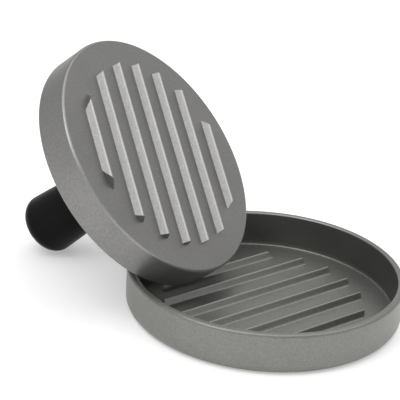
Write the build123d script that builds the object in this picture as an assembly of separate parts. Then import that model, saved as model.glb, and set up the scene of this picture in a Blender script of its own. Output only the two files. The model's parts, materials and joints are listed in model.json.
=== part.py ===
"""Patty press: a round ridged tray and a ridged plunger with a knob handle.

Units are millimetres. The origin is the centre of the tray's underside and +Z is up. The plunger is
drawn face down and coaxial with the tray, closed on a patty, then tipped back about a Y axis into its
resting place: its back edge on the tray's ridges and its handle's end on the table.
"""

import os
from math import atan2, cos, pi, radians, sin, sqrt

from build123d import *

# Tray
TRAY_RADIUS = 60.0
TRAY_HEIGHT = 18.5
TRAY_WALL = 3.2
TRAY_FLOOR = 2.5
TRAY_DRAFT = 0.3
TRAY_CORNER = 4.2
TRAY_RIDGE_COUNT = 6
TRAY_RIDGE_CIRCLE = 44.0
TRAY_RIDGE_ANGLE = 63.5

# Press plate, measured from its face
PLATE_RADIUS = 56.0
PLATE_DEPTH = 15.6
PLATE_WALL = 3.0
PLATE_FACE = 4.0
PLATE_RIDGE_COUNT = 7
PLATE_RIDGE_CIRCLE = 43.3
PLATE_RIDGE_ANGLE = 29.5
BOSS_RADIUS = 13.0
BOSS_TOP = 9.0

# Raised ridges, with the same section and spacing on the tray's floor and the plate's face
RIDGE_PITCH = 13.0
RIDGE_BASE = 3.4
RIDGE_HEIGHT = 2.8
RIDGE_CREST = 0.4
RIDGE_ROOT = 0.3

# Handle fixing, an M8 stud with its nut and washers
STUD_RADIUS = 4.0
STUD_FOOT = 2.5
STUD_TOP = 32.0
STUD_CHAMFER = 0.8
NUT_ACROSS_FLATS = 13.0
NUT_HEIGHT = 4.0
SPRING_WASHER_RADIUS = 7.2
SPRING_WASHER_THICKNESS = 2.0
SPRING_WASHER_GAP = 1.6
FLAT_WASHER_RADIUS = 8.0
FLAT_WASHER_THICKNESS = 1.6
WASHER_CLEARANCE = 0.2
INSERT_RADIUS = 6.5
INSERT_LENGTH = 17.0
INSERT_GROOVE = 0.6
THREAD_CLEARANCE = 0.08

# Handle, measured from the plate's face
HANDLE_FOOT = 9.4
HANDLE_FOOT_RADIUS = 11.0
HANDLE_COLLAR = 16.0
HANDLE_NECK = 24.0
HANDLE_NECK_RADIUS = 10.0
HANDLE_RADIUS = 13.7
HANDLE_TIP = 78.0
HANDLE_SOCKET_RADIUS = 8.5
HANDLE_HOLE_TOP = 36.0
HANDLE_FLANK_BULGE = 0.35
HANDLE_CAP_RADIUS = 23.0
HANDLE_CAP_EDGE = 5.5
RUNNING_GAP = 0.1

# Where the plunger closes, and the line it tips back about
CLOSED_FACE_Z = 18.5
TIP_ANGLE = 131.6
TIP_AXIS_X = -36.2
TIP_AXIS_Z = 26.7


def turned(outline):
    """Turn a closed outline in the XZ plane about the Z axis."""
    with BuildPart() as part:
        with BuildSketch(Plane.XZ):
            with BuildLine():
                outline()
            make_face()
        revolve(axis=Axis.Z)
    return part.part


def turned_polygon(points, radii):
    """Turn a polygon that starts and ends on the axis, with one rounding radius for each inner corner."""

    def outline():
        FilletPolyline(*points, radius=radii)
        Line(points[-1], points[0])

    return turned(outline)


def disc(radius, bottom, top):
    """A solid cylinder about the Z axis between two heights."""
    return Pos(0, 0, (bottom + top) / 2) * Cylinder(radius, top - bottom)


def ring(inner, outer, bottom, top):
    """A flat ring about the Z axis between two heights."""
    return disc(outer, bottom, top) - disc(inner, bottom, top)


def ridges(count, circle):
    """Parallel ridges on the XY plane, along X, with a rounded crest, ending on a circle."""
    half_base = RIDGE_BASE / 2
    flank = sqrt(half_base**2 + RIDGE_HEIGHT**2)
    sharp_height = RIDGE_HEIGHT + RIDGE_CREST * (flank / half_base - 1)
    with BuildSketch(Plane.YZ) as section:
        with BuildLine():
            FilletPolyline(
                (-half_base, -RIDGE_ROOT),
                (-half_base, 0),
                (0, sharp_height),
                (half_base, 0),
                (half_base, -RIDGE_ROOT),
                radius=[0.05, RIDGE_CREST, 0.05],
            )
            Line((half_base, -RIDGE_ROOT), (-half_base, -RIDGE_ROOT))
        make_face()
    bar = extrude(section.sketch, amount=circle, both=True)
    outermost = (count - 1) / 2
    bars = [Pos(0, (index - outermost) * RIDGE_PITCH, 0) * bar for index in range(count)]
    trim = disc(circle, -RIDGE_HEIGHT, 2 * RIDGE_HEIGHT)
    return [piece & trim for piece in bars]


def tray():
    """Round pan with a nearly upright wall, a rounded rim and ridges on its floor."""
    foot_radius = TRAY_RADIUS - TRAY_DRAFT
    inner_radius = TRAY_RADIUS - TRAY_WALL
    pan = turned_polygon(
        [
            (0, 0),
            (foot_radius, 0),
            (TRAY_RADIUS, TRAY_HEIGHT),
            (inner_radius, TRAY_HEIGHT),
            (inner_radius - TRAY_DRAFT, TRAY_FLOOR),
            (0, TRAY_FLOOR),
        ],
        [TRAY_CORNER, 1.4, 0.7, 0.8],
    )
    for ridge in ridges(TRAY_RIDGE_COUNT, TRAY_RIDGE_CIRCLE):
        pan += Pos(0, 0, TRAY_FLOOR) * Rot(0, 0, TRAY_RIDGE_ANGLE) * ridge
    return pan


def press_plate():
    """Shallow cup, face down, with ridges under its face and a tapped boss inside."""
    inner_radius = PLATE_RADIUS - PLATE_WALL
    cup = turned_polygon(
        [
            (0, 0),
            (PLATE_RADIUS, 0),
            (PLATE_RADIUS, PLATE_DEPTH),
            (inner_radius, PLATE_DEPTH),
            (inner_radius - 0.4, PLATE_FACE),
            (BOSS_RADIUS + 0.5, PLATE_FACE),
            (BOSS_RADIUS, BOSS_TOP),
            (0, BOSS_TOP),
        ],
        [1.2, 1.0, 0.8, 2.0, 1.5, 0.6],
    )
    for ridge in ridges(PLATE_RIDGE_COUNT, PLATE_RIDGE_CIRCLE):
        cup += Rot(0, 0, PLATE_RIDGE_ANGLE) * Rot(180, 0, 0) * ridge
    return cup - disc(STUD_RADIUS, STUD_FOOT, BOSS_TOP)


def handle_stud():
    """Plain shank of the stud, screwed into the boss, with a chamfered tip."""
    shank = disc(STUD_RADIUS, STUD_FOOT, STUD_TOP)
    return chamfer(shank.edges().sort_by(Axis.Z)[-1], STUD_CHAMFER)


def stud_nut():
    """Thin hexagon nut that locks the stud in the boss."""
    hexagon = RegularPolygon(NUT_ACROSS_FLATS / 2, 6, major_radius=False)
    blank = Pos(0, 0, BOSS_TOP) * extrude(hexagon, amount=NUT_HEIGHT)
    return blank - disc(STUD_RADIUS, BOSS_TOP, BOSS_TOP + NUT_HEIGHT)


def spring_washer():
    """Split ring on top of the nut."""
    bottom = BOSS_TOP + NUT_HEIGHT
    top = bottom + SPRING_WASHER_THICKNESS
    washer = ring(STUD_RADIUS + WASHER_CLEARANCE, SPRING_WASHER_RADIUS, bottom, top)
    middle = (STUD_RADIUS + SPRING_WASHER_RADIUS) / 2
    slit = Box(SPRING_WASHER_RADIUS, SPRING_WASHER_GAP, 3 * SPRING_WASHER_THICKNESS)
    return washer - Pos(middle, 0, (bottom + top) / 2) * Rot(35, 0, 0) * slit


def flat_washer():
    """Plain washer that the handle turns against."""
    bottom = BOSS_TOP + NUT_HEIGHT + SPRING_WASHER_THICKNESS
    top = bottom + FLAT_WASHER_THICKNESS
    return ring(STUD_RADIUS + WASHER_CLEARANCE, FLAT_WASHER_RADIUS, bottom, top)


def insert_foot():
    """Height of the lower end of the brass insert above the plate's face."""
    stack = NUT_HEIGHT + SPRING_WASHER_THICKNESS + FLAT_WASHER_THICKNESS
    return BOSS_TOP + stack + RUNNING_GAP


def insert_blank():
    """Brass bush without its bore, with a groove that keys it into the moulding."""
    foot = insert_foot()
    top = foot + INSERT_LENGTH
    middle = (foot + top) / 2
    groove = ring(INSERT_RADIUS - INSERT_GROOVE, INSERT_RADIUS + 1, middle - 1.5, middle + 1.5)
    return disc(INSERT_RADIUS, foot, top) - groove


def knob_insert():
    """Brass bush moulded into the handle, running on the stud."""
    foot = insert_foot()
    return insert_blank() - disc(STUD_RADIUS + THREAD_CLEARANCE, foot, foot + INSERT_LENGTH)


def handle_grip():
    """Moulded knob: narrow neck, widening to a domed end, hollow at its foot over the nut and washers."""
    cap_centre = HANDLE_TIP - HANDLE_CAP_RADIUS
    edge_centre_radius = HANDLE_RADIUS - HANDLE_CAP_EDGE
    edge_rise = sqrt((HANDLE_CAP_RADIUS - HANDLE_CAP_EDGE) ** 2 - edge_centre_radius**2)
    widest = cap_centre + edge_rise
    edge_angle = atan2(edge_rise, edge_centre_radius)

    def on_edge(angle):
        x = edge_centre_radius + HANDLE_CAP_EDGE * cos(angle)
        return (x, widest + HANDLE_CAP_EDGE * sin(angle))

    def on_cap(angle):
        return (HANDLE_CAP_RADIUS * cos(angle), cap_centre + HANDLE_CAP_RADIUS * sin(angle))

    foot = (HANDLE_FOOT_RADIUS, HANDLE_FOOT)
    collar = (HANDLE_FOOT_RADIUS, HANDLE_COLLAR)
    neck = (HANDLE_NECK_RADIUS, HANDLE_NECK)
    bulge_radius = (HANDLE_RADIUS + HANDLE_NECK_RADIUS) / 2 + HANDLE_FLANK_BULGE
    bulge = (bulge_radius, (widest + HANDLE_NECK) / 2)

    def outline():
        Line((0, HANDLE_FOOT), foot)
        Line(foot, collar)
        Line(collar, neck)
        ThreePointArc(neck, bulge, (HANDLE_RADIUS, widest))
        ThreePointArc((HANDLE_RADIUS, widest), on_edge(edge_angle / 2), on_edge(edge_angle))
        ThreePointArc(on_edge(edge_angle), on_cap((edge_angle + pi / 2) / 2), (0, HANDLE_TIP))
        Line((0, HANDLE_TIP), (0, HANDLE_FOOT))

    seat = insert_foot()
    socket = disc(HANDLE_SOCKET_RADIUS, HANDLE_FOOT, seat)
    blind_hole = disc(STUD_RADIUS + THREAD_CLEARANCE, seat + INSERT_LENGTH, HANDLE_HOLE_TOP)
    return turned(outline) - socket - insert_blank() - blind_hole


def at_rest(solid):
    """Place a plunger piece, drawn face down from its face at Z = 0, in its leaning rest pose."""
    closed = Pos(0, 0, CLOSED_FACE_Z) * solid
    axis_point = (TIP_AXIS_X, 0, TIP_AXIS_Z)
    back = Pos(*axis_point) * Rot(0, -TIP_ANGLE, 0) * Pos(-TIP_AXIS_X, 0, -TIP_AXIS_Z)
    return back * closed


def report_rest_pose():
    """Print the leaning plunger's face centre and its axis, from the face to the handle."""
    turn = radians(-TIP_ANGLE)
    dx = -TIP_AXIS_X
    dz = CLOSED_FACE_Z - TIP_AXIS_Z
    x = TIP_AXIS_X + dx * cos(turn) + dz * sin(turn)
    z = TIP_AXIS_Z - dx * sin(turn) + dz * cos(turn)
    print(f"face centre x {x:.3f} z {z:.3f}, axis x {sin(turn):.5f} z {cos(turn):.5f}")


def main():
    os.makedirs("parts", exist_ok=True)
    plunger_pieces = {
        "press_plate": press_plate(),
        "handle_stud": handle_stud(),
        "stud_nut": stud_nut(),
        "spring_washer": spring_washer(),
        "flat_washer": flat_washer(),
        "knob_insert": knob_insert(),
        "handle_grip": handle_grip(),
    }
    export_step(tray(), "parts/tray.step")
    for name, solid in plunger_pieces.items():
        export_step(at_rest(solid), f"parts/{name}.step")
    report_rest_pose()


main()
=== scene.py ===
"""Looks of the patty press: the castings, their ridges, the finishes and the stage.

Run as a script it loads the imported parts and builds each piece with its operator.
"""

import json
from math import atan2, cos, pi, radians, sin

import bmesh
import bpy
from bpy.props import FloatProperty, FloatVectorProperty, IntProperty, PointerProperty
from mathutils import Euler, Matrix, Vector


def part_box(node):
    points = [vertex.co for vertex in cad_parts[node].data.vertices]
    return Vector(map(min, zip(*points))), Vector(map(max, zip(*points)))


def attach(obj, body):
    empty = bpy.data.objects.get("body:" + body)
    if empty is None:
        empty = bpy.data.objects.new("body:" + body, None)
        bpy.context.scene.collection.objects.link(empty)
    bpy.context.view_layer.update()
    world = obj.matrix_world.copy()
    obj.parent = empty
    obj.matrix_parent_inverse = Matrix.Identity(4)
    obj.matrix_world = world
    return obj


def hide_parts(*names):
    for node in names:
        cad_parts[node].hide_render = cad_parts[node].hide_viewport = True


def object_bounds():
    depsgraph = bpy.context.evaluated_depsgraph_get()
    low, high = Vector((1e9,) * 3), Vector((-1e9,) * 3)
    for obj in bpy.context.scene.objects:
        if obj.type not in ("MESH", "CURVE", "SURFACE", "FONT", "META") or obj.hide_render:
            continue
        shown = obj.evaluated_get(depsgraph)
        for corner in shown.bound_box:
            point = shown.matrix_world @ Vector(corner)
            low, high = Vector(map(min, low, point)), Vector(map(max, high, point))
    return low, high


bl_info = {
    "name": "Patty press",
    "version": (1, 0, 0),
    "blender": (4, 5, 0),
    "location": "3D View > Sidebar > Patty press",
    "description": "Builds the castings, finishes and stage of a patty press around its packed parts",
    "category": "Object",
}

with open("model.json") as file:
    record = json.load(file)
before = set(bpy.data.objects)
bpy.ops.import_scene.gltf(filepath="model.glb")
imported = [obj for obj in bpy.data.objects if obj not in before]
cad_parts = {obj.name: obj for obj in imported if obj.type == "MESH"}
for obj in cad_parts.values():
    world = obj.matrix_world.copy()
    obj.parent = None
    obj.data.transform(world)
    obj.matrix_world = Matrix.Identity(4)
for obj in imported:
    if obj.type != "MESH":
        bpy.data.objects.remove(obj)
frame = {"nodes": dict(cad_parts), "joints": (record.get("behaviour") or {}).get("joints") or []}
PACKED_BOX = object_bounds()
MM = 0.001

# The plunger's own frame at rest: the origin on its face, +Z up the handle. The handle turns about +Z,
# at a point this far above the face.
HANDLE_TURN = next(joint for joint in frame["joints"] if joint["name"] == "handle_turn")
HANDLE_TURN_HEIGHT = 16.7 * MM
PLUNGER_TILT = atan2(HANDLE_TURN["axis"][0], HANDLE_TURN["axis"][2])
PLUNGER_PLACE = Vector(HANDLE_TURN["pos_m"]) - Vector(HANDLE_TURN["axis"]) * HANDLE_TURN_HEIGHT
PLUNGER_TURN = Euler((0, PLUNGER_TILT, 0))

# Smoothness of the castings: sides of a turned shape, steps in a rounded corner, points in a ridge's section
SIDES = 256
CORNER_STEPS = 6
SECTION_POINTS = 45

# Edges that turn by more than this are softened, in this many steps
SHARP_TURN = radians(32)
SOFTENING_STEPS = 3

# Half the length of a ridge before its ends are trimmed, as a share of the trimming circle's radius
UNTRIMMED_REACH = 1.1

# Bump depths of the finishes
COATING_BUMP = 0.06 * MM
PLASTIC_BUMP = 0.08 * MM
METAL_BUMP = 0.02 * MM

# Colours with their alpha
WHITE = (1.0, 1.0, 1.0, 1.0)
DARK_BRASS = (0.62, 0.42, 0.15, 1.0)
PALE_BRASS = (0.78, 0.58, 0.27, 1.0)

# The floor is a disc with this many sides, a hair under the object so that the two don't coincide
FLOOR_GAP = 0.02 * MM
FLOOR_SIDES = 96

# Camera's film and lens, in millimetres
FILM_WIDTH = 36.0
FOCAL_LENGTH = 144.0


# ---------------------------------------------------------------------------
# Node helpers
# ---------------------------------------------------------------------------


def socket_of(value):
    """The socket that a wrapped value stands for, or the value itself."""
    return value.socket if isinstance(value, Value) else value


def add_node(tree, kind, settings=None, inputs=None):
    """Add a node, set its settings first, then its sockets' numbers or links by name or index."""
    node = tree.nodes.new(kind)
    for name, setting in (settings or {}).items():
        setattr(node, name, setting)
    for name, value in (inputs or {}).items():
        value = socket_of(value)
        if isinstance(value, bpy.types.NodeSocket):
            tree.links.new(value, node.inputs[name])
        else:
            node.inputs[name].default_value = value
    return node


class Value:
    """A socket that carries a number and takes part in Python expressions."""

    def __init__(self, tree, socket):
        self.tree = tree
        self.socket = socket

    def math(self, operation, *others):
        """The result of a Math node on this number and the others."""
        values = dict(enumerate((self, *others)))
        node = add_node(self.tree, "ShaderNodeMath", {"operation": operation}, values)
        return Value(self.tree, node.outputs[0])

    def __add__(self, other):
        return self.math("ADD", other)

    def __radd__(self, other):
        return self.math("ADD", other)

    def __mul__(self, other):
        return self.math("MULTIPLY", other)

    def __rmul__(self, other):
        return self.math("MULTIPLY", other)

    def __sub__(self, other):
        return self.math("SUBTRACT", other)

    def __rsub__(self, other):
        return (self * -1.0) + other

    def __truediv__(self, other):
        return self.math("DIVIDE", other)

    def __pow__(self, other):
        return self.math("POWER", other)

    def ramp(self, low, high):
        """0 below low, 1 above high and a smooth step between; high may be the smaller of the two."""
        settings = {"interpolation_type": "SMOOTHSTEP", "clamp": True}
        if low < high:
            inputs = {"Value": self, "From Min": low, "From Max": high}
        else:
            inputs = {"Value": self, "From Min": high, "From Max": low, "To Min": 1.0, "To Max": 0.0}
        node = add_node(self.tree, "ShaderNodeMapRange", settings, inputs)
        return Value(self.tree, node.outputs["Result"])


class Finish:
    """A material with one Principled shader, and short ways to the nodes that a finish uses."""

    def __init__(self, name, **constants):
        self.material = bpy.data.materials.new(name)
        self.material.use_nodes = True
        self.tree = self.material.node_tree
        self.shader = self.tree.nodes["Principled BSDF"]
        for socket, value in constants.items():
            self.shader.inputs[socket.replace("_", " ")].default_value = value

    def node(self, kind, settings=None, inputs=None):
        """Add a node to the material."""
        return add_node(self.tree, kind, settings, inputs)

    def place(self, location=(0, 0, 0), rotation=(0, 0, 0)):
        """Object coordinates in a piece's own frame."""
        coordinates = self.node("ShaderNodeTexCoord").outputs["Object"]
        inputs = {"Vector": coordinates, "Location": location, "Rotation": rotation}
        return self.node("ShaderNodeMapping", {"vector_type": "TEXTURE"}, inputs).outputs["Vector"]

    def axes(self, vector):
        """A vector's X, Y and Z."""
        split = self.node("ShaderNodeSeparateXYZ", None, {"Vector": vector})
        return [Value(self.tree, output) for output in split.outputs]

    def stretched(self, vector, scale):
        """A vector with its own scale along each axis."""
        inputs = {"Vector": vector, "Scale": scale}
        return self.node("ShaderNodeMapping", {"vector_type": "POINT"}, inputs).outputs["Vector"]

    def noise(self, vector, scale, detail, roughness):
        """Cloudy noise from 0 to 1, with its scale in clouds per metre."""
        inputs = {"Vector": vector, "Scale": scale, "Detail": detail, "Roughness": roughness}
        return Value(self.tree, self.node("ShaderNodeTexNoise", None, inputs).outputs["Fac"])

    def cells(self, vector, scale):
        """A random number from 0 to 1 for each cell of a Voronoi pattern."""
        found = self.node("ShaderNodeTexVoronoi", None, {"Vector": vector, "Scale": scale})
        parts = self.node("ShaderNodeSeparateColor", None, {"Color": found.outputs["Color"]})
        return Value(self.tree, parts.outputs[0])

    def mix(self, share, first, second):
        """The first colour, turning to the second as the share goes from 0 to 1."""
        settings = {"data_type": "RGBA", "clamp_factor": True}
        factor, first_colour, second_colour, result = 0, 6, 7, 2
        inputs = {factor: share, first_colour: first, second_colour: second}
        return self.node("ShaderNodeMix", settings, inputs).outputs[result]

    def bump(self, height, distance, strength):
        """Raise the surface by a height from 0 to 1, times a distance."""
        inputs = {"Height": height, "Distance": distance, "Strength": strength}
        self.set("Normal", self.node("ShaderNodeBump", None, inputs).outputs["Normal"])

    def set(self, socket, value):
        """Link a value to one of the shader's sockets."""
        self.tree.links.new(socket_of(value), self.shader.inputs[socket])


def opaque(colour, factor=1.0):
    """A colour times a factor, with full alpha."""
    return tuple(channel * factor for channel in colour) + (1.0,)


def grey(level, warmth=0.0):
    """A linear grey, a little towards yellow for a positive warmth."""
    return opaque((level * (1 + warmth), level, level * (1 - warmth)))


# ---------------------------------------------------------------------------
# Mesh helpers
# ---------------------------------------------------------------------------


def rounded(points, radii):
    """A polyline whose inner corners are arcs with the given radii."""
    path = [points[0]]
    for before, corner, after, radius in zip(points, points[1:], points[2:], radii):
        corner = Vector(corner)
        to_before = (Vector(before) - corner).normalized()
        to_after = (Vector(after) - corner).normalized()
        half = to_before.angle(to_after) / 2
        middle = (to_before + to_after).normalized()
        centre = corner + middle * (radius / sin(half))
        reach = radius * cos(half) / sin(half)
        start = corner + to_before * reach - centre
        end = corner + to_after * reach - centre
        turn = start.angle_signed(end)
        for step in range(CORNER_STEPS + 1):
            angle = -turn * step / CORNER_STEPS
            spoke = Vector((
                start.x * cos(angle) - start.y * sin(angle),
                start.x * sin(angle) + start.y * cos(angle),
            ))
            path.append(tuple(centre + spoke))
    path.append(points[-1])
    return path


def turned(name, profile):
    """A closed mesh turned about Z. Its profile starts and ends on the axis with a flat disc."""
    shell = bmesh.new()
    angles = [2 * pi * index / SIDES for index in range(SIDES)]
    rings = []
    for radius, height in profile[1:-1]:
        rings.append([shell.verts.new((radius * cos(a), radius * sin(a), height)) for a in angles])
    for lower, upper in zip(rings, rings[1:]):
        for index in range(SIDES):
            following = (index + 1) % SIDES
            shell.faces.new((lower[index], lower[following], upper[following], upper[index]))
    shell.faces.new(rings[0])
    shell.faces.new(rings[-1])
    bmesh.ops.recalc_face_normals(shell, faces=shell.faces)
    mesh = bpy.data.meshes.new(name)
    shell.to_mesh(mesh)
    shell.free()
    mesh.shade_smooth()
    piece = bpy.data.objects.new(name, mesh)
    bpy.context.scene.collection.objects.link(piece)
    return piece


def ridge_tree():
    """Geometry Nodes that unite a turned casting with parallel ridges whose ends lie on a circle."""
    tree = bpy.data.node_groups.new("casting_ridges", "GeometryNodeTree")
    tree.is_modifier = True
    face = tree.interface
    face.new_socket("Casting", in_out="INPUT", socket_type="NodeSocketGeometry")
    face.new_socket("Casting", in_out="OUTPUT", socket_type="NodeSocketGeometry")
    face.new_socket("Count", in_out="INPUT", socket_type="NodeSocketInt")
    lengths = ("Pitch", "Base width", "Crest width", "Height", "Root", "Circle", "Level")
    for name in (*lengths, "Root softness", "Crest softness", "Angle", "Flip"):
        face.new_socket(name, in_out="INPUT", socket_type="NodeSocketFloat")
    face.new_socket("Material", in_out="INPUT", socket_type="NodeSocketMaterial")
    given = tree.nodes.new("NodeGroupInput").outputs

    def number(name):
        return Value(tree, given[name])

    def node(kind, settings=None, inputs=None):
        return add_node(tree, kind, settings, inputs)

    def vector(x=0.0, y=0.0, z=0.0):
        return node("ShaderNodeCombineXYZ", None, {"X": x, "Y": y, "Z": z}).outputs[0]

    # The section is a flat line, raised by its distance from the flank, with a soft root and a soft crest
    slope = (number("Base width") - number("Crest width")) / number("Height") * 0.5
    reach = number("Base width") * 0.5 + number("Root softness") * slope
    flat = node("GeometryNodeCurvePrimitiveLine", None, {
        "Start": vector(x=reach * -1.0),
        "End": vector(x=reach),
    }).outputs[0]
    points = node("GeometryNodeResampleCurve", None, {"Curve": flat, "Count": SECTION_POINTS}).outputs[0]
    position = node("GeometryNodeInputPosition").outputs[0]
    across = Value(tree, node("ShaderNodeSeparateXYZ", None, {"Vector": position}).outputs[0])
    flank = (number("Base width") * 0.5 - across.math("ABSOLUTE")) / slope
    raised = flank.math("SMOOTH_MAX", 0.0, number("Root softness"))
    raised = raised.math("SMOOTH_MIN", number("Height"), number("Crest softness"))
    # The section's two ends go down into the floor
    at_ends = across.math("ABSOLUTE").math("GREATER_THAN", reach * 0.999)
    profile = node("GeometryNodeSetPosition", None, {
        "Geometry": points,
        "Position": vector(x=across, y=at_ends * number("Root") - raised),
    }).outputs[0]
    section = node("GeometryNodeSetSplineCyclic", None, {"Geometry": profile, "Cyclic": True}).outputs[0]
    # One long bar, copied in a row and trimmed by a drum
    line = node("GeometryNodeCurvePrimitiveLine", None, {
        "Start": vector(x=number("Circle") * -UNTRIMMED_REACH),
        "End": vector(x=number("Circle") * UNTRIMMED_REACH),
    }).outputs[0]
    upright = node("GeometryNodeSetCurveNormal", {"mode": "Z_UP"}, {"Curve": line}).outputs[0]
    bar = node("GeometryNodeCurveToMesh", None, {
        "Curve": upright,
        "Profile Curve": section,
        "Fill Caps": True,
    }).outputs[0]
    first = (number("Count") - 1.0) * number("Pitch") * -0.5
    row = node("GeometryNodeMeshLine", {"mode": "OFFSET"}, {
        "Count": number("Count"),
        "Start Location": vector(y=first),
        "Offset": vector(y=number("Pitch")),
    }).outputs[0]
    copies = node("GeometryNodeInstanceOnPoints", None, {"Points": row, "Instance": bar}).outputs[0]
    bars = node("GeometryNodeRealizeInstances", None, {"Geometry": copies}).outputs[0]
    drum = node("GeometryNodeMeshCylinder", {"fill_type": "NGON"}, {
        "Vertices": SIDES,
        "Radius": number("Circle"),
        "Depth": number("Height") * 4.0,
    }).outputs[0]
    trimmed = node("GeometryNodeMeshBoolean", {"operation": "INTERSECT", "solver": "EXACT"})
    tree.links.new(bars, trimmed.inputs["Mesh 2"])
    tree.links.new(drum, trimmed.inputs["Mesh 2"])
    placed = node("GeometryNodeTransform", None, {
        "Geometry": trimmed.outputs[0],
        "Translation": vector(z=number("Level")),
        "Rotation": vector(x=number("Flip"), z=number("Angle")),
    }).outputs[0]
    united = node("GeometryNodeMeshBoolean", {"operation": "UNION", "solver": "EXACT"})
    tree.links.new(given["Casting"], united.inputs["Mesh 2"])
    tree.links.new(placed, united.inputs["Mesh 2"])
    whole = node("GeometryNodeRealizeInstances", None, {"Geometry": united.outputs[0]}).outputs[0]
    finished = node("GeometryNodeSetMaterial", None, {
        "Geometry": whole,
        "Material": given["Material"],
    }).outputs[0]
    tree.links.new(finished, tree.nodes.new("NodeGroupOutput").inputs["Casting"])
    return tree


def united_casting(piece, settings, frame_of_piece, finish):
    """Add the ridges to a turned casting, soften its edges and set it in its place as a plain mesh."""
    ridges = piece.modifiers.new("ridges", "NODES")
    ridges.node_group = bpy.data.node_groups.get("casting_ridges") or ridge_tree()
    values = {
        "Count": settings.ridge_count,
        "Pitch": settings.ridge_pitch,
        "Base width": settings.ridge_base,
        "Crest width": settings.ridge_crest,
        "Height": settings.ridge_height,
        "Root": settings.ridge_root,
        "Root softness": settings.ridge_root_softness,
        "Crest softness": settings.ridge_crest_softness,
        "Circle": settings.ridge_circle,
        "Level": settings.ridge_level,
        "Angle": settings.ridge_angle,
        "Flip": settings.ridge_flip,
        "Material": finish,
    }
    for item in ridges.node_group.interface.items_tree:
        if item.in_out == "INPUT" and item.name in values:
            ridges[item.identifier] = values[item.name]
    soften = piece.modifiers.new("soften", "BEVEL")
    soften.width = settings.edge_softness
    soften.segments = SOFTENING_STEPS
    soften.limit_method = "ANGLE"
    soften.angle_limit = SHARP_TURN
    soften.use_clamp_overlap = True
    soften.miter_outer = "MITER_ARC"
    weigh = piece.modifiers.new("weigh", "WEIGHTED_NORMAL")
    weigh.keep_sharp = False
    graph = bpy.context.evaluated_depsgraph_get()
    mesh = bpy.data.meshes.new_from_object(piece.evaluated_get(graph))
    piece.modifiers.clear()
    piece.data = mesh
    mesh.transform(frame_of_piece)
    mesh.materials.clear()
    mesh.materials.append(finish)
    return piece


# ---------------------------------------------------------------------------
# Finishes
# ---------------------------------------------------------------------------


def speckled_coating(finish, place, settings, wear_and_highlight, inside, rubbed):
    """Grey coating on cast aluminium: fine two-tone grain, soft mottling, paler along edges, partly worn
    coating and partly a painted edge highlight.

    The inside is darker with painted shade, and a rubbed floor is a little less metallic."""
    blotches = finish.noise(place, 38.0, 3.0, 0.6)
    grain = finish.noise(place, 1300.0, 3.0, 0.65)
    flakes = finish.cells(place, 2600.0)
    scuffs = finish.noise(finish.stretched(place, (220.0, 18.0, 60.0)), 1.0, 4.0, 0.7).ramp(0.60, 0.74)
    tone = grain.ramp(0.25, 0.75) * 0.55 + flakes * 0.30 + blotches.ramp(0.25, 0.75) * 0.15
    deep = opaque(settings.colour, settings.grain_depth)
    pale = opaque(settings.colour, 2.0 - settings.grain_depth)
    # Painted shade: the inside is darkened to stand in for the shade that falls there
    painted_shade_colour = opaque(settings.colour, settings.inside_painted_shade)
    coating = finish.mix(inside * (1.0 - 0.35 * tone), finish.mix(tone, deep, pale), painted_shade_colour)
    # Paler edges: partly real wear, partly a painted edge highlight
    worn = wear_and_highlight * (0.75 + 0.5 * grain)
    finish.set("Base Color", finish.mix(worn * settings.wear_and_highlight, coating, opaque(settings.worn_and_highlight_colour)))
    gloss = settings.roughness + 0.10 * (grain - 0.5) + 0.08 * (blotches - 0.5) - inside * 0.06
    finish.set("Roughness", gloss - scuffs * 0.05 - worn * 0.06)
    finish.set("Metallic", settings.metallic + 0.12 * flakes - 0.06 - 0.12 * rubbed)
    finish.bump(grain * 0.7 + flakes * 0.3, COATING_BUMP, 0.55)


def casting_finish(name, settings, location, rotation, masks_of):
    """A coating whose worn edges with painted highlight, painted shade inside and rubbed places follow the
    casting's own radius and height.
    """
    finish = Finish(name, Specular_IOR_Level=0.5)
    place = finish.place(location, rotation)
    x, y, z = finish.axes(place)
    radius = (x * x + y * y) ** 0.5
    speckled_coating(finish, place, settings, *masks_of(radius, z))
    return finish.material


def moulded_plastic(name, settings, location, rotation):
    """Black moulded plastic: satin, finely textured, with a faint parting line along both sides."""
    finish = Finish(name, Specular_IOR_Level=0.08)
    place = finish.place(location, rotation)
    x, y, _ = finish.axes(place)
    grain = finish.noise(place, 1500.0, 2.0, 0.6)
    patches = finish.noise(place, 60.0, 3.0, 0.6)
    rubbed = finish.noise(finish.stretched(place, (90.0, 90.0, 25.0)), 1.0, 3.0, 0.6).ramp(0.5, 0.75)
    dusty = opaque(channel * 1.7 + 0.0015 for channel in settings.colour)
    dust = patches.ramp(0.35, 0.8) * 0.6 + grain * 0.25
    finish.set("Base Color", finish.mix(dust, opaque(settings.colour), dusty))
    finish.set("Roughness", settings.roughness + 0.10 * (patches - 0.5) - rubbed * 0.07)
    parting = y.math("ABSOLUTE").ramp(0.22 * MM, 0.0) * x.math("ABSOLUTE").ramp(4.0 * MM, 6.0 * MM)
    finish.bump(grain * 0.25 + parting * 0.9, PLASTIC_BUMP, 0.6)
    return finish.material


def plated_steel(name, location, rotation):
    """Zinc-plated steel with fine turning marks round the plunger's axis."""
    finish = Finish(name, Metallic=1.0)
    place = finish.place(location, rotation)
    x, y, _ = finish.axes(place)
    radius = (x * x + y * y) ** 0.5
    cloud = finish.noise(place, 250.0, 3.0, 0.6)
    marks = ((radius * 14000.0).math("SINE") * 0.5 + 0.5) * cloud
    finish.set("Base Color", finish.mix(cloud.ramp(0.3, 0.7), grey(0.46), grey(0.62, 0.02)))
    finish.set("Roughness", 0.28 + 0.14 * cloud)
    finish.bump(marks, METAL_BUMP, 0.5)
    return finish.material


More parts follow.
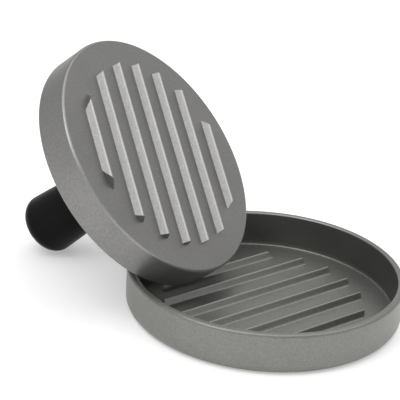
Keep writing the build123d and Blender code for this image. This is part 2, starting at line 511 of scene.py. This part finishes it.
def turned_brass(name, location, rotation):
    """Turned brass with faint turning marks along its height."""
    finish = Finish(name, Metallic=1.0)
    place = finish.place(location, rotation)
    height = finish.axes(place)[2]
    cloud = finish.noise(place, 200.0, 3.0, 0.6)
    marks = (height * 12000.0).math("SINE") * 0.5 + 0.5
    finish.set("Base Color", finish.mix(cloud, DARK_BRASS, PALE_BRASS))
    finish.set("Roughness", 0.26 + 0.12 * cloud)
    finish.bump(marks, METAL_BUMP, 0.4)
    return finish.material


def dress(node, material):
    """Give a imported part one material."""
    part = frame["nodes"][node]
    part.data.materials.clear()
    part.data.materials.append(material)


# ---------------------------------------------------------------------------
# Settings
# ---------------------------------------------------------------------------


def length(name, description, default):
    """A length in metres."""
    return FloatProperty(name=name, description=description, default=default, unit="LENGTH", precision=4)


def angle(name, description, default):
    """An angle, given in degrees."""
    return FloatProperty(name=name, description=description, default=radians(default), unit="ROTATION")


def factor(name, description, default):
    """A share or a strength."""
    return FloatProperty(name=name, description=description, default=default, subtype="FACTOR",
                         min=0.0, max=2.0)


def colour(name, description, default):
    """A linear colour."""
    return FloatVectorProperty(name=name, description=description, default=default, subtype="COLOR",
                               size=3, min=0.0, max=1.0)


class RidgedCasting:
    """Sizes that both castings have."""

    ridge_pitch: length("Pitch", "Distance between neighbouring ridges", 13.0 * MM)
    ridge_crest: length("Crest width", "Width of a ridge at its top before rounding", 0.5 * MM)
    ridge_root: length("Root depth", "How far a ridge reaches into the floor", 0.3 * MM)
    ridge_crest_softness: length("Crest softness", "How far the crest's rounding reaches down", 0.5 * MM)
    edge_softness: length("Edge softness", "Width of the softened edges", 0.3 * MM)
    grain_depth: factor("Grain depth", "Darkest grain as a share of the colour", 0.76)
    # Painted shade: how dark the inside is painted
    inside_painted_shade: factor("Inside shade", "Colour inside as a share of the colour outside", 0.6)
    # Edge wear, partly a painted edge highlight
    wear_and_highlight: factor("Wear", "How far worn edges take the worn colour", 0.55)


class TraySettings(RidgedCasting, bpy.types.PropertyGroup):
    """Sizes and colours of the tray."""

    wall: length("Wall", "Thickness of the side wall", 3.2 * MM)
    floor: length("Floor", "Thickness of the floor", 2.5 * MM)
    draft: length("Draft", "How much narrower the wall is at its foot", 0.3 * MM)
    foot_rounding: length("Foot rounding", "Rounding radius under the side wall", 4.2 * MM)
    ridge_count: IntProperty(name="Ridges", description="Number of parallel ridges", default=6, min=1)
    ridge_circle: length("Ridge circle", "Radius of the circle on which the ridges end", 44.0 * MM)
    ridge_base: length("Base width", "Width of a ridge at its root", 3.5 * MM)
    ridge_height: length("Ridge height", "Height of a ridge above the floor", 2.75 * MM)
    ridge_level: length("Ridge level", "Height of the floor that the ridges stand on", 2.5 * MM)
    ridge_root_softness: length("Root softness", "How far the root's rounding reaches up", 1.3 * MM)
    ridge_angle: angle("Ridge angle", "Turn of the ridges about the tray's axis", 63.5)
    ridge_flip: angle("Ridge flip", "Half a turn for ridges that point down", 0.0)
    colour: colour("Coating", "Colour of the coating", (0.205, 0.208, 0.193))
    # Paler colour for worn edges and painted edge highlights
    worn_and_highlight_colour: colour("Worn edges", "Colour where the coating is worn", (0.34, 0.34, 0.33))
    roughness: factor("Roughness", "Roughness of the coating", 0.38)
    metallic: factor("Metallic", "How metallic the coating is", 0.75)


class PlateSettings(RidgedCasting, bpy.types.PropertyGroup):
    """Sizes and colours of the press plate."""

    radius: length("Radius", "Outer radius of the plate", 56.0 * MM)
    depth: length("Depth", "Height of the side wall", 15.6 * MM)
    wall: length("Wall", "Thickness of the side wall", 3.0 * MM)
    face: length("Face", "Thickness of the face", 4.0 * MM)
    draft: length("Draft", "How much the hollow narrows", 0.4 * MM)
    boss_radius: length("Boss radius", "Radius of the boss inside", 13.0 * MM)
    boss_top: length("Boss top", "Height of the boss above the face", 9.0 * MM)
    boss_draft: length("Boss draft", "How much wider the boss is at its root", 0.5 * MM)
    ridge_count: IntProperty(name="Ridges", description="Number of parallel ridges", default=7, min=1)
    ridge_circle: length("Ridge circle", "Radius of the circle on which the ridges end", 43.3 * MM)
    ridge_base: length("Base width", "Width of a ridge at its root", 3.9 * MM)
    ridge_height: length("Ridge height", "Height of a ridge above the face", 3.0 * MM)
    ridge_level: length("Ridge level", "Height of the face that the ridges stand on", 0.0)
    ridge_root_softness: length("Root softness", "How far the root's rounding reaches up", 0.3 * MM)
    ridge_angle: angle("Ridge angle", "Turn of the ridges about the plunger's axis", 29.5)
    ridge_flip: angle("Ridge flip", "Half a turn for ridges that point down", 180.0)
    colour: colour("Coating", "Colour of the coating", (0.219, 0.217, 0.212))
    # Paler colour for worn edges and painted edge highlights
    worn_and_highlight_colour: colour("Worn edges", "Colour where the coating is worn", (0.38, 0.38, 0.37))
    roughness: factor("Roughness", "Roughness of the coating", 0.38)
    metallic: factor("Metallic", "How metallic the coating is", 0.80)


class HandleSettings(bpy.types.PropertyGroup):
    """Look of the handle."""

    colour: colour("Plastic", "Colour of the moulded handle", (0.0025, 0.0025, 0.0027))
    roughness: factor("Roughness", "Roughness of the handle", 0.38)


class StageSettings(bpy.types.PropertyGroup):
    """Floor, lights and camera."""

    floor_radius: length("Floor radius", "Radius of the floor", 12.0)
    floor_colour: colour("Floor", "Colour of the floor", (0.86, 0.86, 0.86))
    floor_glow: factor("Floor glow", "Light that the floor gives by itself, as a lit table does", 0.3)
    overhead: factor("Overhead", "Brightness of the surround overhead", 0.40)
    horizon: factor("Horizon", "Brightness of the surround at the horizon", 0.9)
    shade: factor("Shade", "How much dimmer the surround is on its dim side", 0.35)
    shade_azimuth: angle("Shade azimuth", "Turn of the surround's dim side, from straight behind", 20.92)
    camera_distance: length("Camera distance", "From the tray's centre to the camera", 0.6988)
    camera_azimuth: angle("Azimuth", "Camera's turn about the tray, from the front", 20.92)
    camera_elevation: angle("Elevation", "Camera's height above the horizon", 27.66)
    camera_aside: angle("Aside", "Camera's turn away from the tray's centre", -2.83)
    camera_down: angle("Down", "Camera's tilt below the horizon", 24.07)
    camera_roll: angle("Roll", "Camera's roll", 4.15)


# ---------------------------------------------------------------------------
# Stage
# ---------------------------------------------------------------------------


# Name, direction from the object, distance in metres, side in metres and power in watts of each softbox
SOFTBOXES = (
    ("key_light", (-0.25, -0.55, 0.85), 0.9, 0.5, 2.5),
    ("top_light", (0.1, 0.2, 1.0), 1.3, 1.8, 12.5),
    ("back_light", (0.15, 0.9, 0.5), 1.2, 1.2, 0.9),
)


def add_floor(settings):
    """A wide pale disc under the object, faintly mottled."""
    finish = Finish("floor_paper", Specular_IOR_Level=0.2)
    place = finish.place()
    cloud = finish.noise(place, 9.0, 3.0, 0.5)
    pale = opaque(settings.floor_colour)
    paler = opaque(settings.floor_colour, 1.02)
    finish.set("Base Color", finish.mix(cloud, pale, paler))
    finish.set("Roughness", 0.75 + 0.1 * cloud)
    finish.shader.inputs["Emission Color"].default_value = WHITE
    finish.shader.inputs["Emission Strength"].default_value = settings.floor_glow
    disc = bmesh.new()
    bmesh.ops.create_circle(disc, cap_ends=True, radius=settings.floor_radius, segments=FLOOR_SIDES)
    mesh = bpy.data.meshes.new("floor")
    disc.to_mesh(mesh)
    disc.free()
    mesh.materials.append(finish.material)
    floor = bpy.data.objects.new("floor", mesh)
    floor.location.z = -FLOOR_GAP
    bpy.context.scene.collection.objects.link(floor)


def add_surround(settings):
    """White light from all round, brightest at the horizon and dimmer on one side."""
    world = bpy.data.worlds.new("studio")
    world.use_nodes = True
    tree = world.node_tree
    direction = add_node(tree, "ShaderNodeTexCoord").outputs["Generated"]
    parts = add_node(tree, "ShaderNodeSeparateXYZ", None, {"Vector": direction}).outputs
    x, y, upward = (Value(tree, parts[axis]) for axis in "XYZ")
    towards_shade = y * cos(settings.shade_azimuth) - x * sin(settings.shade_azimuth)
    fall = settings.horizon - settings.overhead
    strength = settings.horizon - fall * upward.ramp(0.30, 0.80)
    strength = strength * (1.0 - settings.shade * towards_shade.ramp(-0.1, 0.8))
    background = tree.nodes["Background"]
    background.inputs["Color"].default_value = WHITE
    tree.links.new(strength.socket, background.inputs["Strength"])
    bpy.context.scene.world = world


def add_softbox(name, aim, offset, side, power):
    """A square area light that faces a point from an offset."""
    light = bpy.data.lights.new(name, "AREA")
    light.size = side
    light.energy = power
    box = bpy.data.objects.new(name, light)
    box.location = aim + offset
    box.rotation_euler = (-offset).to_track_quat("-Z", "Y").to_euler()
    bpy.context.scene.collection.objects.link(box)


def add_camera(settings):
    """A long lens a little above the object, turned slightly aside and rolled."""
    lens = bpy.data.cameras.new("camera")
    lens.lens = FOCAL_LENGTH
    lens.sensor_width = FILM_WIDTH
    camera = bpy.data.objects.new("camera", lens)
    across = settings.camera_distance * cos(settings.camera_elevation)
    camera.location = (
        across * sin(settings.camera_azimuth),
        -across * cos(settings.camera_azimuth),
        settings.camera_distance * sin(settings.camera_elevation),
    )
    heading = Matrix.Rotation(settings.camera_azimuth - settings.camera_aside, 3, "Z")
    tilt = Matrix.Rotation(pi / 2 - settings.camera_down, 3, "X")
    roll = Matrix.Rotation(settings.camera_roll, 3, "Z")
    camera.rotation_euler = (heading @ tilt @ roll).to_euler()
    bpy.context.scene.collection.objects.link(camera)
    bpy.context.scene.camera = camera


# ---------------------------------------------------------------------------
# Operators
# ---------------------------------------------------------------------------


class BuildTray(bpy.types.Operator):
    """Build the tray with its ridged floor"""

    bl_idname = "patty_press.tray"
    bl_label = "Tray"

    def execute(self, context):
        settings = context.scene.patty_tray
        widest, _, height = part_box("tray")[1]
        rim_rounding = 1.4 * MM
        outer = widest + settings.draft * rim_rounding / height
        inner = outer - settings.wall
        profile = rounded(
            [
                (0, 0),
                (outer - settings.draft, 0),
                (outer, height),
                (inner, height),
                (inner - settings.draft, settings.floor),
                (0, settings.floor),
            ],
            [
                settings.foot_rounding,
                rim_rounding,
                0.7 * MM,  # inner edge of the rim
                0.8 * MM,  # foot of the wall inside
            ],
        )
        ridge_top = settings.floor + settings.ridge_height
        beyond_ridges = settings.ridge_circle + 2.0 * MM

        def masks_of(radius, z):
            """Where the coating is worn, with a painted highlight along the rim's inner edge and the ridge
            crests, where the inner wall has painted shade, and where it is rubbed.
            """
            within = radius.ramp(inner + 0.3 * MM, inner - 0.1 * MM)
            # Painted highlight along the rim's inner edge, given as wear
            inner_edge_wear_and_highlight = z.ramp(height - 0.7 * MM, height - 0.1 * MM)
            inner_edge_wear_and_highlight = inner_edge_wear_and_highlight * radius.ramp(inner + 1.0 * MM, inner + 0.5 * MM)
            crest = z.ramp(ridge_top - 0.65 * MM, ridge_top - 0.05 * MM)
            # Painted highlight along the ridge crests, given as wear
            crest_wear_and_highlight = crest * radius.ramp(beyond_ridges, beyond_ridges - 1.0 * MM)
            # Painted shade on the inner wall above the floor
            wall = within * z.ramp(settings.floor + 0.5 * MM, settings.floor + 2.5 * MM)
            wall = wall * radius.ramp(beyond_ridges, beyond_ridges + 4.0 * MM)
            level = z.ramp(settings.floor + 0.7 * MM, settings.floor + 0.2 * MM) + crest
            floor = within * z.ramp(1.0 * MM, 1.5 * MM) * (1.0 - wall) * level
            return inner_edge_wear_and_highlight + crest_wear_and_highlight, wall, floor

        finish = casting_finish("tray_coating", settings, (0, 0, 0), (0, 0, 0), masks_of)
        piece = united_casting(turned("tray_casting", profile), settings, Matrix(), finish)
        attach(piece, "tray")
        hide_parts("tray")
        return {"FINISHED"}


class BuildPressPlate(bpy.types.Operator):
    """Build the press plate: a shallow cup with a ridged face and a boss inside"""

    bl_idname = "patty_press.press_plate"
    bl_label = "Press plate"

    def execute(self, context):
        settings = context.scene.patty_plate
        inner = settings.radius - settings.wall
        profile = rounded(
            [
                (0, 0),
                (settings.radius, 0),
                (settings.radius, settings.depth),
                (inner, settings.depth),
                (inner - settings.draft, settings.face),
                (settings.boss_radius + settings.boss_draft, settings.face),
                (settings.boss_radius, settings.boss_top),
                (0, settings.boss_top),
            ],
            [
                1.2 * MM,  # edge of the face
                1.0 * MM,  # outer edge of the back
                0.8 * MM,  # inner edge of the back
                2.0 * MM,  # foot of the wall inside
                1.5 * MM,  # root of the boss
                0.6 * MM,  # edge of the boss
            ],
        )
        ridge_top = -settings.ridge_height

        def masks_of(radius, z):
            """Where the coating is worn, with a painted highlight along the face's edge and the ridge
            crests, and where the hollow has painted shade; nothing is rubbed.
            """
            # Painted highlight along the face's edge, given as wear
            face_edge_wear_and_highlight = radius.ramp(settings.radius - 1.1 * MM, settings.radius - 0.2 * MM)
            face_edge_wear_and_highlight = face_edge_wear_and_highlight * z.ramp(1.3 * MM, 0.4 * MM)
            back_edge = z.ramp(settings.depth - 0.7 * MM, settings.depth - 0.1 * MM)
            # Painted highlight along the ridge crests, given as wear
            crest = z.ramp(ridge_top + 0.9 * MM, ridge_top + 0.3 * MM)
            # Painted shade in the hollow
            hollow = radius.ramp(inner + 0.3 * MM, inner - 0.1 * MM) * z.ramp(2.0 * MM, 3.0 * MM)
            return face_edge_wear_and_highlight + back_edge * 0.8 + crest * 0.7, hollow, 0.0

        finish = casting_finish("plate_coating", settings, PLUNGER_PLACE, PLUNGER_TURN, masks_of)
        place = Matrix.LocRotScale(PLUNGER_PLACE, PLUNGER_TURN, None)
        piece = united_casting(turned("plate_casting", profile), settings, place, finish)
        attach(piece, "plunger")
        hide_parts("press_plate")
        return {"FINISHED"}


class FinishHandle(bpy.types.Operator):
    """Give the handle its moulded plastic"""

    bl_idname = "patty_press.handle"
    bl_label = "Handle"

    def execute(self, context):
        settings = context.scene.patty_handle
        finish = moulded_plastic("handle_plastic", settings, PLUNGER_PLACE, PLUNGER_TURN)
        dress("handle_grip", finish)
        return {"FINISHED"}


class FinishFixing(bpy.types.Operator):
    """Give the stud, the nut, the washers and the insert their metals"""

    bl_idname = "patty_press.fixing"
    bl_label = "Handle fixing"

    def execute(self, context):
        steel = plated_steel("zinc_plated_steel", PLUNGER_PLACE, PLUNGER_TURN)
        for node in ("handle_stud", "stud_nut", "spring_washer", "flat_washer"):
            dress(node, steel)
        dress("knob_insert", turned_brass("turned_brass", PLUNGER_PLACE, PLUNGER_TURN))
        return {"FINISHED"}


class BuildStage(bpy.types.Operator):
    """Make the floor, the lights and the camera"""

    bl_idname = "patty_press.stage"
    bl_label = "Stage"

    def execute(self, context):
        settings = context.scene.patty_stage
        add_floor(settings)
        add_surround(settings)
        centre = (PACKED_BOX[0] + PACKED_BOX[1]) / 2
        for name, direction, distance, size, power in SOFTBOXES:
            add_softbox(name, centre, Vector(direction).normalized() * distance, size, power)
        add_camera(settings)
        context.scene.view_settings.view_transform = "Standard"
        return {"FINISHED"}


# ---------------------------------------------------------------------------
# Panel and registration
# ---------------------------------------------------------------------------


class PattyPressPanel(bpy.types.Panel):
    """Lists the pieces and their sizes"""

    bl_idname = "VIEW3D_PT_patty_press"
    bl_label = "Patty press"
    bl_space_type = "VIEW_3D"
    bl_region_type = "UI"
    bl_category = "Patty press"

    def draw(self, context):
        """Draw a box for each operator, with its settings."""
        for operator, group in PANEL_ROWS:
            box = self.layout.box()
            box.operator(operator.bl_idname)
            if group:
                settings = getattr(context.scene, group)
                for name in settings.bl_rna.properties.keys():
                    if name not in ("rna_type", "name"):
                        box.prop(settings, name)


PANEL_ROWS = (
    (BuildTray, "patty_tray"),
    (BuildPressPlate, "patty_plate"),
    (FinishHandle, "patty_handle"),
    (FinishFixing, None),
    (BuildStage, "patty_stage"),
)
GROUPS = {
    "patty_tray": TraySettings,
    "patty_plate": PlateSettings,
    "patty_handle": HandleSettings,
    "patty_stage": StageSettings,
}
CLASSES = (*GROUPS.values(), *(operator for operator, group in PANEL_ROWS), PattyPressPanel)


def register():
    """Register the classes and hang each group of settings on the scene."""
    for item in CLASSES:
        bpy.utils.register_class(item)
    for name, group in GROUPS.items():
        setattr(bpy.types.Scene, name, PointerProperty(type=group))


def unregister():
    """Undo register."""
    for name in GROUPS:
        delattr(bpy.types.Scene, name)
    for item in reversed(CLASSES):
        bpy.utils.unregister_class(item)


def main():
    """Build everything in order."""
    register()
    bpy.ops.patty_press.tray()
    bpy.ops.patty_press.press_plate()
    bpy.ops.patty_press.handle()
    bpy.ops.patty_press.fixing()
    bpy.ops.patty_press.stage()


if __name__ == "__main__":
    main()
